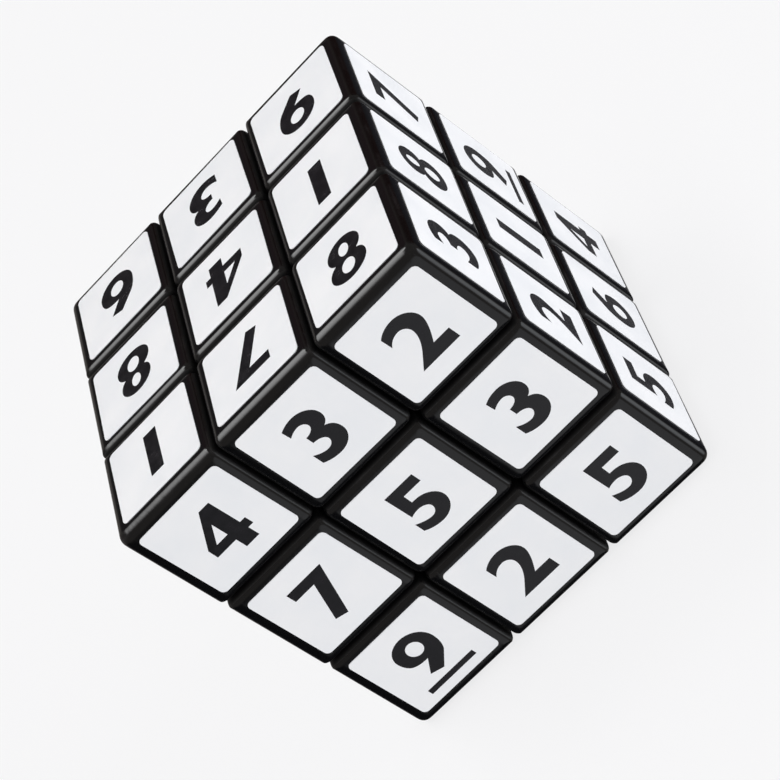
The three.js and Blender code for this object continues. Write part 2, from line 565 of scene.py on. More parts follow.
class Palette:
    """The cube's materials, one of each."""

    def __init__(self) -> None:
        """Makes the materials."""
        # Gloss-moulded ABS: deep black, with clear bright lines along the rounded edges.
        self.plastic = MouldedGlossAbs().make()
        # Laminated vinyl: a clean, cool white under a satin film that mirrors nothing sharply.
        self.vinyl = SheetFinish(
            name="laminated_white_vinyl",
            colour="#f3f5f8",
            second_colour="#f7f8fa",
            roughness=0.36,
            ior=1.48,
        ).make()
        # Printed ink: charcoal rather than black, with a slight shine of its own.
        self.ink = SheetFinish(
            name="printed_charcoal_ink",
            colour="#131316",
            second_colour="#19181c",
            roughness=0.22,
            ior=1.42,
            patch=1.2,
        ).make()
        # Moulded nylon: a dark grey that hardly shines, faintly clouded.
        self.nylon = SheetFinish(
            name="moulded_matte_nylon",
            colour="#2b2c2f",
            second_colour="#34353a",
            roughness=0.5,
            ior=1.53,
        ).make()
        # Zinc-plated steel: a light, slightly blue metal with a soft gleam.
        self.screw = DrawnSteel(name="zinc_plated_steel", colour="#b4b7bb", roughness=0.32).make()
        # Drawn spring steel: a darker grey metal with a sharper gleam.
        self.spring = DrawnSteel(name="drawn_spring_steel", colour="#9a9da3", roughness=0.28).make()


@dataclass(frozen=True)
class Skin:
    """A closed surface: its points, one row each, and its faces as rows of point numbers."""

    points: np.ndarray
    faces: np.ndarray

    def mesh(self, name: str) -> bpy.types.Mesh:
        """Puts the surface into a mesh.

        Args:
            name: The mesh's name.

        Returns:
            The mesh, shaded smooth.
        """
        made = bpy.data.meshes.new(name)
        made.from_pydata(self.points.tolist(), [], self.faces.tolist())
        made.shade_smooth()
        return made


def grid_lines(
    limits: tuple[float, float], rounds: tuple[float, float], steps: int, power: float
) -> np.ndarray:
    """Spaces grid lines along one axis of a block.

    Over a rounded end they stand at the rounding times a root of the tangent of even steps of angle, so
    that the surface turns by the same angle from each line to the next. Between the two ends the block is
    flat and needs none.

    Args:
        limits: The block's lower and upper limit.
        rounds: The rounding at each of them.
        steps: Steps to half of each rounded edge.
        power: The power of the rounding, as in drawn_in.

    Returns:
        The lines in rising order.
    """
    climb = 1 - np.tan(np.linspace(0, np.pi / 4, steps + 1)) ** (1 / (power - 1))
    (low, high), (low_round, high_round) = limits, rounds
    lines = np.concatenate([low + low_round * climb, high - high_round * climb])
    return np.unique(lines.round(DECIMALS))


def block_skin(lines: Sequence[np.ndarray]) -> Skin:
    """The skin of a sharp block.

    Each of its six sides is a grid of two parameters, a point for each crossing of two axes' lines. The
    rims that two sides share are welded.

    Args:
        lines: The grid lines along each axis.

    Returns:
        The closed skin.
    """
    points, faces, count = [], [], 0
    for axis in range(3):
        across, upward = (axis + 1) % 3, (axis + 2) % 3
        u, v = np.meshgrid(lines[across], lines[upward], indexing="ij")
        number = np.arange(u.size).reshape(u.shape)
        ring = [number[:-1, :-1], number[1:, :-1], number[1:, 1:], number[:-1, 1:]]
        cells = np.stack(ring, -1).reshape(-1, 4)
        for end, outward_cells in ((0, cells[:, ::-1]), (-1, cells)):
            side = np.empty((u.size, 3))
            side[:, axis] = lines[axis][end]
            side[:, across] = u.ravel()
            side[:, upward] = v.ravel()
            points.append(side)
            faces.append(outward_cells + count)
            count += u.size
    welded, number = np.unique(np.concatenate(points), axis=0, return_inverse=True)
    return Skin(welded, number.reshape(-1)[np.concatenate(faces)])


def drawn_in(points: np.ndarray, limits: Limits, rounding: float, power: float) -> np.ndarray:
    """Draws points onto a rounded block.

    The block's core is what is left when the rounding is taken off all round. A point's length from the
    core is the root of the sum of its sides' powers, and a point that is longer than the rounding is drawn
    straight back to it. A power of 2 gives true arcs, a higher one flatter borders and a tighter bend.

    Args:
        points: Points on or outside the rounded block.
        limits: The block's limits on each axis.
        rounding: The width of the rounded edges.
        power: The power.

    Returns:
        The points, moved where they stood outside.
    """
    low, high = np.array(limits).T
    core = np.clip(points, low + rounding, high - rounding)
    out = points - core
    length = np.linalg.norm(out, ord=power, axis=1, keepdims=True)
    return np.where(length > rounding, core + out * (rounding / np.maximum(length, rounding)), points)


def box(limits: Limits) -> bpy.types.Mesh:
    """A sharp box between limits."""
    return block_skin([np.array(pair) for pair in limits]).mesh("box")


def ball(radius: float, steps: int) -> bpy.types.Mesh:
    """A ball about the cube's middle: a block that is all rounding, so it has even faces and no poles.

    Args:
        radius: The ball's radius.
        steps: Steps to an eighth of a turn.

    Returns:
        The ball.
    """
    limits = [(-radius, radius)] * 3
    skin = block_skin([grid_lines(limits[0], (radius, radius), steps, ARC)] * 3)
    return Skin(drawn_in(skin.points, limits, radius, ARC), skin.faces).mesh("ball")


def carve(base: bpy.types.Mesh, *steps: tuple[Cut, bpy.types.Mesh]) -> bpy.types.Mesh:
    """Works solids on a base solid, one after the other.

    Args:
        base: The solid to start from.
        steps: What is done, and the solid that does it.

    Returns:
        The carved solid.
    """
    scene = bpy.context.scene.collection.objects
    whole = bpy.data.objects.new("carving", base)
    tools = [bpy.data.objects.new("tool", mesh) for _, mesh in steps]
    for thing in (whole, *tools):
        scene.link(thing)
    for tool, (cut, _) in zip(tools, steps):
        step = whole.modifiers.new(cut.name, "BOOLEAN")
        step.operation = cut.value
        step.solver = "EXACT"
        step.object = tool
    weld = whole.modifiers.new("weld", "WELD")
    weld.merge_threshold = NEAR
    graph = bpy.context.evaluated_depsgraph_get()
    made = bpy.data.meshes.new_from_object(whole.evaluated_get(graph))
    for thing in (whole, *tools):
        bpy.data.objects.remove(thing)
    return made


def solid_name(slot: Slot) -> str:
    """Names the piece in a slot of the grid.

    Args:
        slot: -1, 0 or 1 along each axis.

    Returns:
        The piece's kind, and then the sides that it shows on, the upright one first.
    """
    sides = [side.label for side in Side if side.outward @ np.array(slot) == 1]
    order = ["top", "bottom", "front", "back", "right", "left"]
    kind = {1: "centre", 2: "edge", 3: "corner"}[len(sides)]
    return "_".join([kind, *sorted(sides, key=order.index)])


@dataclass
class Mouldings:
    """The black pieces: eight corners, twelve edges and six centre caps.

    Each kind is carved once, in the slot on the positive side, and turned copies go to the other slots.
    """

    cube: float = CUBE
    layers: int = LAYERS
    gap: float = 0.36  # between pieces that slide
    fixed_gap: float = 0.3  # between a cap and its base
    groove_round: float = 1.6  # on the edges along the grooves
    outer_round: float = 2.0  # on the cube's own edges
    round_power: float = 2.8
    round_steps: int = 6
    ball_steps: int = 12
    wall: float = 1.6
    corner_wing: float = 3.0  # reach of a corner's foot under its neighbours
    edge_wing: float = 1.8
    corner_neck: float = 6.0
    edge_neck: float = 4.2
    foot_depth: float = 4.0
    cap_height: float = 4.0
    plug_depth: float = 2.4
    sharp_angle: float = 32.0  # degrees, above which an edge is drawn sharp

    def __post_init__(self) -> None:
        """Works out the cuts and balls that the pieces slide on."""
        self.half = self.cube / 2
        self.slide = self.gap / 2
        self.far = 2 * self.cube
        self.face_cut = self.cube / self.layers / 2
        self.wing_cut = self.face_cut - self.corner_wing
        self.foot_cut = self.wing_cut - self.edge_wing
        self.wing_ball = math.hypot(self.face_cut, self.face_cut, self.face_cut + self.corner_neck)
        self.foot_ball = math.hypot(self.wing_cut, self.wing_cut + self.edge_neck)
        self.core_ball = self.foot_ball - self.foot_depth

    @property
    def facet_middle(self) -> float:
        """Where the flat of an outer piece's face has its middle, along either direction of the face."""
        inner = self.face_cut + self.slide + self.groove_round
        return (inner + self.half - self.outer_round) / 2

    def limits(self, slot: Slot, middle_cut: float, outer_cut: float, reach: float) -> Limits:
        """The limits of a slot, with room to slide.

        Args:
            slot: 1 on each axis where the piece is in the outer layer, and else 0.
            middle_cut: Where a middle layer ends, on both sides.
            outer_cut: Where an outer layer starts.
            reach: Where an outer layer ends.

        Returns:
            The lower and upper limit on each axis.
        """
        outer = (outer_cut + self.slide, reach)
        middle = (self.slide - middle_cut, middle_cut - self.slide)
        return [outer if step else middle for step in slot]

    def block(self, slot: Slot) -> bpy.types.Mesh:
        """The block that shows, rounded along the grooves and more along the cube's own edges.

        Args:
            slot: 1 on each axis where the piece is in the outer layer, and else 0.

        Returns:
            The block.
        """
        limits = self.limits(slot, self.face_cut, self.face_cut, self.half)
        groove, outer = self.groove_round, self.outer_round
        lines = [
            grid_lines(pair, (groove, outer if step else groove), self.round_steps, self.round_power)
            for pair, step in zip(limits, slot)
        ]
        skin = block_skin(lines)
        along_grooves = drawn_in(skin.points, limits, groove, self.round_power)
        whole_cube = [(-self.half, self.half)] * 3
        points = drawn_in(along_grooves, whole_cube, outer, self.round_power)
        return Skin(points, skin.faces).mesh("block")

    def shell_part(
        self, slot: Slot, cuts: tuple[float, float], balls: tuple[float, float]
    ) -> bpy.types.Mesh:
        """The part of a ball-shaped shell that lies in a slot.

        Args:
            slot: The slot.
            cuts: Where the middle layer ends and where the outer layer starts.
            balls: The shell's inner and outer radius.

        Returns:
            The part.
        """
        inner, outer = balls
        return carve(
            box(self.limits(slot, *cuts, self.far)),
            (Cut.KEEP, ball(outer - self.slide, self.ball_steps)),
            (Cut.TAKE, ball(inner + self.slide, self.ball_steps)),
        )

    def corner(self) -> bpy.types.Mesh:
        """A corner: its block and the flange that reaches under the edges beside it.

        Returns:
            The corner that is on the positive side of all three axes.
        """
        slot = (1, 1, 1)
        flange = self.shell_part(slot, (self.wing_cut, self.wing_cut), (self.foot_ball, self.wing_ball))
        return carve(self.block(slot), (Cut.ADD, flange))

    def edge(self) -> bpy.types.Mesh:
        """An edge: its block, hollowed for the corners' flanges, its own flange and its foot.

        The foot reaches under the centres. It is a sole, joined to the flange by an ankle.

        Returns:
            The edge that is on the positive side of X and Z.
        """
        slot = (1, 0, 1)
        neck_limits = self.limits(slot, self.wing_cut, self.face_cut, self.far)
        passage = carve(ball(self.wing_ball + self.slide, self.ball_steps), (Cut.TAKE, box(neck_limits)))
        flange = self.shell_part(slot, (self.wing_cut, self.wing_cut), (self.foot_ball, self.wing_ball))
        sole = self.shell_part(slot, (self.foot_cut, self.foot_cut), (self.core_ball, self.foot_ball))
        ankle = self.shell_part(slot, (self.foot_cut, self.wing_cut), (self.core_ball, self.wing_ball))
        return carve(
            self.block(slot), (Cut.TAKE, passage), (Cut.ADD, flange), (Cut.ADD, ankle), (Cut.ADD, sole)
        )

    def cap(self) -> bpy.types.Mesh:
        """A centre's cap: the top of its block, hollow, on a rim that plugs into the base.

        Returns:
            The cap that is on the positive side of Z.
        """
        seam = self.half - self.cap_height
        plug = self.face_cut - self.slide - self.wall - self.fixed_gap
        inside = plug - self.wall
        above = box([(-self.far, self.far), (-self.far, self.far), (seam, self.far)])
        rim = box([(-plug, plug), (-plug, plug), (seam - self.plug_depth, seam + self.wall)])
        hollow = box([(-inside, inside), (-inside, inside), (0, self.half - self.wall)])
        return carve(self.block((0, 0, 1)), (Cut.KEEP, above), (Cut.ADD, rim), (Cut.TAKE, hollow))

    def axes(self, slot: Slot) -> Matrix:
        """The turn that takes a piece from the slot that it is carved in to another slot.

        Args:
            slot: The slot that it goes to.

        Returns:
            The turn, with the lift of the cube's middle above the ground and the change to metres.
        """
        unit = np.eye(3)
        used = [unit[axis] * step for axis, step in enumerate(slot) if step]
        if len(used) == 3:
            x, y, z = used
            if np.cross(x, y) @ z < 0:
                x, y = y, x
        else:
            z = used[-1]
            x = used[0] if len(used) == 2 else np.roll(np.abs(z), 1)
            y = np.cross(z, x)
        turn = np.eye(4)
        turn[:3, :3] = np.stack([x, y, z], axis=1)
        turn[2, 3] = self.half
        return Matrix.Scale(MM, 4) @ Matrix(turn.tolist())

    def build(self, palette: Palette) -> None:
        """Carves each kind of piece, and puts a turned copy in the place of each solid.

        Args:
            palette: The cube's materials.
        """
        kinds = {1: self.cap(), 2: self.edge(), 3: self.corner()}
        for slot in product((-1, 0, 1), repeat=3):
            shown = sum(map(abs, slot))
            if not shown:
                continue
            body = solid_name(slot)
            solid = body.replace("centre_", "centre_cap_")
            mesh = kinds[shown].copy()
            mesh.name = f"moulded_{solid}"
            mesh.transform(self.axes(slot))
            mesh.shade_smooth()
            mesh.set_sharp_from_angle(angle=math.radians(self.sharp_angle))
            mesh.materials.clear()
            mesh.materials.append(palette.plastic)
            piece = bpy.data.objects.new(mesh.name, mesh)
            bpy.context.scene.collection.objects.link(piece)
            even = piece.modifiers.new("even_shading", "WEIGHTED_NORMAL")
            even.keep_sharp = True
            # A cut can leave a thin spike on a face. Split here, such a face gives no doubled triangles.
            split = piece.modifiers.new("split_cut_faces", "TRIANGULATE")
            split.keep_custom_normals = True
            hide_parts(solid)
            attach(piece, body)
            LOG.info("moulding %s rides on %s", piece.name, body)


@dataclass(frozen=True)
class Stroke:
    """One stretch of an outline: how the pen moves, where it arrives, and a bend's guide point."""

    pen: Pen
    end: tuple[float, float]
    guide: tuple[float, float] = (0.0, 0.0)

    def points(self, start: np.ndarray, steps: int) -> np.ndarray:
        """Points along the stretch, without its start.

        Args:
            start: Where the pen stands.
            steps: Points on a curve.

        Returns:
            One row for each point.
        """
        end = np.array(self.end)
        if self.pen is Pen.LINE:
            return end[None]
        along = np.linspace(0, 1, steps + 1)[1:, None]
        rise, fall = np.sin(along * np.pi / 2), np.cos(along * np.pi / 2)
        swept, kept = start + (end - start) * rise, end + (start - end) * fall
        if self.pen is Pen.LEVEL:
            return np.column_stack([swept[:, 0], kept[:, 1]])
        if self.pen is Pen.UPRIGHT:
            return np.column_stack([kept[:, 0], swept[:, 1]])
        guide = np.array(self.guide)
        return (1 - along) ** 2 * start + 2 * along * (1 - along) * guide + along**2 * end


def line(x: float, y: float) -> Stroke:
    """A straight stretch."""
    return Stroke(Pen.LINE, (x, y))


def level(x: float, y: float) -> Stroke:
    """A quarter turn that leaves level."""
    return Stroke(Pen.LEVEL, (x, y))


def upright(x: float, y: float) -> Stroke:
    """A quarter turn that leaves upright."""
    return Stroke(Pen.UPRIGHT, (x, y))


def bend(guide_x: float, guide_y: float, x: float, y: float) -> Stroke:
    """A bend towards a guide point."""
    return Stroke(Pen.BEND, (x, y), (guide_x, guide_y))


def oval(x: float, y: float, half_width: float, half_height: float) -> list[Stroke]:
    """An ellipse as four quarter turns, from its highest point.

    Args:
        x: The middle's place across.
        y: The middle's place upwards.
        half_width: Half of the width.
        half_height: Half of the height.

    Returns:
        The outline.
    """
    return [
        line(x, y + half_height),
        level(x + half_width, y),
        upright(x, y - half_height),
        level(x - half_width, y),
        upright(x, y + half_height),
    ]


def oblong(x: float, y: float, width: float, height: float) -> list[Stroke]:
    """A rectangle about a point.

    Args:
        x: The middle's place across.
        y: The middle's place upwards.
        width: The width.
        height: The height.

    Returns:
        The outline.
    """
    right, top = x + width / 2, y + height / 2
    left, low = x - width / 2, y - height / 2
    return [line(left, low), line(right, low), line(right, top), line(left, top)]


# The outlines of a heavy plain figure about 9 mm high, from its middle. A loop inside another is a hole.
FIGURES: dict[str, list[list[Stroke]]] = {
    "1": [oblong(0, 0, 2.45, 8.7)],
    "2": [
        [
            line(-3.25, 3.5),
            bend(-2.0, 4.55, -0.25, 4.55),
            level(2.62, 2.0),
            bend(2.62, 0.55, 0.62, -2.25),
            line(3.42, -2.25),
            line(3.42, -4.35),
            line(-3.4, -4.35),
            line(-1.25, -2.0),
            bend(0.3, -0.2, 0.3, 1.25),
            upright(-1.0, 2.62),
            bend(-2.3, 2.62, -3.2, 1.5),
        ]
    ],
    "3": [
        [
            line(-2.6, 3.95),
            bend(-1.5, 4.55, -0.1, 4.55),
            level(2.8, 2.1),
            bend(2.8, 0.8, 1.65, 0.3),
            bend(2.95, -0.2, 2.95, -1.75),
            upright(-0.1, -4.45),
            bend(-1.6, -4.45, -2.85, -3.75),
            line(-2.85, -1.85),
            bend(-1.7, -2.7, -0.75, -2.7),
            level(0.5, -1.6),
            upright(-1.3, -0.5),
            line(-1.3, 0.8),
            level(0.4, 1.9),
            upright(-0.7, 2.9),
            bend(-1.6, 2.9, -2.5, 2.35),
        ]
    ],
    "4": [
        [
            line(0.65, 4.5),
            line(2.6, 4.5),
            line(2.6, -1.05),
            line(3.57, -1.05),
            line(3.57, -2.55),
            line(2.6, -2.55),
            line(2.6, -4.5),
            line(0.12, -4.5),
            line(0.12, -2.55),
            line(-3.5, -2.55),
            line(-3.45, -0.8),
        ],
        [line(0.12, 1.75), line(0.12, -1.05), line(-2.0, -1.05)],
    ],
    "5": [
        [
            line(-2.45, 4.45),
            line(2.75, 4.45),
            line(2.75, 2.68),
            line(-0.5, 2.68),
            line(-0.55, 1.1),
            line(0.0, 1.1),
            level(3.05, -1.5),
            upright(-0.1, -4.45),
            bend(-1.7, -4.45, -3.0, -3.6),
            line(-3.0, -1.85),
            bend(-1.6, -2.75, -0.5, -2.75),
            level(0.7, -1.5),
            upright(-0.9, -0.38),
            bend(-1.7, -0.38, -2.35, -0.7),
        ]
    ],
    "7": [
        [
            line(-3.25, 4.45),
            line(3.4, 4.45),
            line(-0.43, -4.45),
            line(-2.38, -3.88),
            line(0.35, 2.68),
            line(-3.25, 2.68),
        ]
    ],
    "8": [
        [
            line(0.0, 4.5),
            level(2.9, 1.95),
            bend(2.9, 0.75, 1.93, 0.14),
            bend(3.2, -0.5, 3.2, -2.0),
            upright(0.0, -4.5),
            level(-3.2, -2.0),
            bend(-3.2, -0.5, -1.93, 0.14),
            bend(-2.9, 0.75, -2.9, 1.95),
            upright(0.0, 4.5),
        ],
        oval(0, 1.9, 0.87, 1.25),
        oval(0, -1.75, 1.15, 1.39),
    ],
    "9": [
        [
            line(-3.37, 1.5),
            upright(-0.1, 4.37),
            level(3.3, 1.1),
            bend(3.3, -0.7, 2.5, -1.9),
            line(0.1, -4.3),
            line(-1.95, -3.6),
            line(-0.1, -1.25),
            bend(-1.9, -1.3, -2.7, -0.6),
            bend(-3.37, 0.2, -3.37, 1.5),
        ],
        oval(0, 1.4, 1.3, 1.37),
    ],
}


@dataclass(frozen=True)
class Sheet:
    """The figures of one side, row by row from the top, and each one's quarter turns to the left."""

    figures: tuple[str, str, str]
    turns: tuple[str, str, str] = ("000", "000", "000")


SHEETS = {
    Side.FRONT: Sheet(("432", "753", "925")),
    Side.RIGHT: Sheet(("387", "219", "564")),
    Side.TOP: Sheet(("636", "841", "178"), ("220", "220", "220")),
    Side.BACK: Sheet(("916", "482", "759")),
    Side.LEFT: Sheet(("273", "596", "184")),
    Side.BOTTOM: Sheet(("581", "639", "427")),
}


@dataclass
class Labels:
    """The 54 printed vinyl labels, cut with rounded corners and stuck on by hand."""

    mouldings: Mouldings
    width: float = 15.3
    corner: float = 0.8
    thickness: float = 0.1
    edge_round: float = 0.04  # of the cut edge
    glue: float = 0.01
    corner_steps: int = 8
    edge_steps: int = 3
    curve_steps: int = 9
    figure_drop: float = 0.3  # of a figure below its label's middle
    nine_lift: float = 0.4  # of an underlined nine above it
    underline: tuple[float, float] = (8.9, 1.0)
    underline_drop: float = 5.5
    slip: float = 0.1  # typical miss when a label is stuck on
    most_slip: float = 0.2
    twist: float = 0.45  # typical turn, in degrees
    seed: int = 12
    fill_reach: float = 1e-6  # points of the loops that are nearer than this are one point

    def ring(self, inset: float) -> Loop:
        """The label's outline: a square with four arcs for corners, moved inwards.

        Args:
            inset: How far inwards.

        Returns:
            Points against the clock.
        """
        sweep = np.linspace(0, np.pi / 2, self.corner_steps + 1)
        turn = np.arange(4) * np.pi / 2
        angle = turn[:, None] + sweep
        out = np.stack([np.cos(angle), np.sin(angle)], -1) * (self.corner - inset)
        middle = np.stack([np.cos(turn + np.pi / 4), np.sin(turn + np.pi / 4)], -1)
        middle *= math.sqrt(2) * (self.width / 2 - self.corner)
        return (middle[:, None] + out).reshape(-1, 2).round(DECIMALS)

    def traced(self, loop: Sequence[Stroke]) -> Loop:
        """Runs the pen round a loop.

        Args:
            loop: The stretches. The first one only gives the start.

        Returns:
            Points against the clock, each once.
        """
        places = [np.array(loop[0].end)[None]]
        for stroke in loop[1:]:
            places.append(stroke.points(places[-1][-1], self.curve_steps))
        points = np.concatenate(places).round(DECIMALS)
        if np.allclose(points[0], points[-1]):
            points = points[:-1]
        x, y = points.T
        area = np.sum(x * np.roll(y, -1) - y * np.roll(x, -1))
        return points if area > 0 else points[::-1]

    def figure(self, name: str) -> list[Loop]:
        """The printed loops of one figure, from its label's middle. A six is a nine upside down.

        Args:
            name: The figure.

        Returns:
            The loops.
        """
        if name == "6":
            return [-loop - (0, self.figure_drop) for loop in map(self.traced, FIGURES["9"])]
        loops = [self.traced(loop) for loop in FIGURES[name]]
        if name == "9":
            under = self.traced(oblong(0, -self.underline_drop, *self.underline))
            return [loop + (0, self.nine_lift) for loop in loops] + [under]
        return [loop - (0, self.figure_drop) for loop in loops]

    def skin(self, name: str) -> tuple[np.ndarray, list[list[int]], np.ndarray, np.ndarray]:
        """A label lying flat with its middle at the origin.

        The cut edge is a profile, up and then over a small quarter round, carried along the outline. The
        printed face is filled between the outline and the figure's loops, and what lies inside an odd
        number of the figure's loops is ink.

        Args:
            name: The figure.

        Returns:
            The points, the faces, which of them are ink and which of them are shaded smooth.
        """
        top = self.glue + self.thickness
        sweep = np.linspace(0, np.pi / 2, self.edge_steps + 1)
        inset = np.append(0, self.edge_round * (1 - np.cos(sweep)))
        height = np.append(self.glue, top - self.edge_round * (1 - np.sin(sweep)))
        rings = [self.ring(step) for step in inset]
        count = len(rings[0])
        walls = [np.column_stack([ring, np.full(count, z)]) for ring, z in zip(rings, height)]
        number = np.arange(len(rings) * count).reshape(len(rings), count)
        following = np.roll(number, -1, axis=1)
        sides = np.stack([number[:-1], following[:-1], following[1:], number[1:]], -1).reshape(-1, 4)
        loops = [rings[-1], *self.figure(name)]
        starts = np.cumsum([0, *map(len, loops)])
        spans = [list(range(a, b)) for a, b in zip(starts[:-1], starts[1:])]
        corners = [Vector(point) for point in np.concatenate(loops).tolist()]
        flat, _, fill, _, _, owners = delaunay_2d_cdt(corners, [], spans, INSIDE, self.fill_reach)
        printed = np.array([point[:] for point in flat]).round(DECIMALS)
        points = np.concatenate([*walls, np.column_stack([printed, np.full(len(printed), top)])])
        welded, renumbered = np.unique(points.round(DECIMALS), axis=0, return_inverse=True)
        renumbered = renumbered.reshape(-1)
        faces = [
            renumbered[sides],
            renumbered[np.array(fill) + number.size],
            renumbered[number[0][::-1]][None],
        ]
        ink = [sum(owner > 0 for owner in group) % 2 for group in owners]
        return (
            welded,
            [face for kind in faces for face in kind.tolist()],
            np.concatenate([np.zeros(len(sides)), ink, [0]]).astype(np.int32),
            np.arange(len(sides) + len(fill) + 1) < len(sides),
        )

    def build(self, palette: Palette) -> None:
        """Cuts, prints and sticks on every label.

        Args:
            palette: The cube's materials.
        """
        chance = np.random.default_rng(self.seed)
        for side, sheet in SHEETS.items():
            for row, column in product(range(LAYERS), repeat=2):
                name = sheet.figures[row][column]
                turns = int(sheet.turns[row][column])
                miss = chance.normal(0, self.slip, 2).clip(-self.most_slip, self.most_slip)
                angle = turns * np.pi / 2 + math.radians(chance.normal(0, self.twist))
                step = (column - 1) * side.across + (1 - row) * side.upward
                slot = tuple((side.outward + step).tolist())
                right = math.cos(angle) * side.across + math.sin(angle) * side.upward
                up = math.cos(angle) * side.upward - math.sin(angle) * side.across
                middle = (
                    side.outward * self.mouldings.half
                    + step * self.mouldings.facet_middle
                    + miss[0] * side.across
                    + miss[1] * side.upward
                    + (0, 0, self.mouldings.half)
                )
                points, faces, ink, smooth = self.skin(name)
                mesh = bpy.data.meshes.new(f"label_{side.label}_row{row + 1}_column{column + 1}")
                placed = (points @ np.stack([right, up, side.outward]) + middle) * MM
                mesh.from_pydata(placed.tolist(), [], faces)
                mesh.materials.append(palette.vinyl)
                mesh.materials.append(palette.ink)
                mesh.polygons.foreach_set("material_index", ink)
                mesh.polygons.foreach_set("use_smooth", smooth)
                piece = bpy.data.objects.new(mesh.name, mesh)
                bpy.context.scene.collection.objects.link(piece)
                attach(piece, solid_name(slot))
                LOG.info("label %s, a %s, rides on %s", piece.name, name, solid_name(slot))


class Insides:
    """The core, the centres' bases, the screws and the springs, which keep their solids."""

    def dress(self, palette: Palette) -> None:
        """Gives the solids their materials.

        Args:
            palette: The cube's materials.
        """
        finishes = {
            "core_spider": palette.nylon,
            "centre_base": palette.plastic,
            "centre_screw": palette.screw,
            "centre_spring": palette.spring,
        }
        for name, solid in frame["nodes"].items():
            for start, material in finishes.items():
                if name.startswith(start):
                    for slot in solid.material_slots:
                        slot.material = material
                    LOG.info("solid %s is %s", name, material.name)


@dataclass(frozen=True)
class SoftBox:
    """A large lamp that looks at the cube. It lights the cube, and the gloss doesn't mirror it."""

    name: str
    direction: tuple[float, float, float]  # from the cube's middle
    distance: float
    width: float
    height: float
    radiance: float  # against a white of 1
    colour: str
    along: tuple[float, float, float] = (0.0, 1.0, 0.0)  # the way that its height runs

    def build(self, middle: Vector) -> None:
        """Hangs the lamp. Its energy is the radiance times pi and its area.

        Args:
            middle: The cube's middle, in metres.
        """
        lamp = bpy.data.lights.new(self.name, "AREA")
        lamp.shape = "RECTANGLE"
        lamp.size = self.width * MM
        lamp.size_y = self.height * MM
        lamp.energy = self.radiance * math.pi * lamp.size * lamp.size_y
        lamp.color = linear(self.colour)[:3]
        back = Vector(self.direction).normalized()
        side = Vector(self.along).cross(back).normalized()
        up = back.cross(side)
        turn = Matrix((side, up, back)).transposed().to_4x4()
        thing = bpy.data.objects.new(self.name, lamp)
        thing.matrix_world = Matrix.Translation(middle + back * self.distance * MM) @ turn
        thing.visible_glossy = False
        bpy.context.scene.collection.objects.link(thing)


@dataclass(frozen=True)
class Glow:
    """A soft-edged patch of the surroundings that the gloss mirrors."""

    name: str
    direction: tuple[float, float, float]
    full: float  # radius of the even part, in degrees
    outer: float  # radius where it ends
    colour: str
    light: float
    squeeze: tuple[float, float, float] = (1.0, 1.0, 1.0)  # times that it is narrower along each axis

    def paint(
        self, tree: bpy.types.NodeTree, way: bpy.types.NodeSocket, under: Colour | bpy.types.NodeSocket
    ) -> bpy.types.NodeSocket:
        """Paints the patch over what is there, fading from its even part to its end.

        The angle between two ways is measured by the straight line between their unit vectors, which is
        twice the sine of half the angle.

        Args:
            tree: The world's node tree.
            way: The way that is looked.
            under: The colour that is there.

        Returns:
            The colour with the patch.
        """
        middle = Vector(self.direction).normalized() * Vector(self.squeeze)
        squeezed = add_node(tree, "ShaderNodeVectorMath", {0: way, 1: self.squeeze}, operation="MULTIPLY")
        apart = add_node(
            tree,
            "ShaderNodeVectorMath",
            {0: squeezed.outputs[0], 1: tuple(middle)},
            operation="DISTANCE",
        )
        share = add_node(
            tree,
            "ShaderNodeMapRange",
            {
                "Value": apart.outputs["Value"],
                "From Min": 2 * math.sin(math.radians(self.outer) / 2),
                "From Max": 2 * math.sin(math.radians(self.full) / 2),
            },
            interpolation_type="SMOOTHSTEP",
        )
        radiance = tuple(self.light * part for part in linear(self.colour))
        mixed = add_node(
            tree,
            "ShaderNodeMix",
            {0: share.outputs[0], MIX_FROM: under, MIX_TO: radiance},
            data_type="RGBA",
        )
        return mixed.outputs[MIXED]


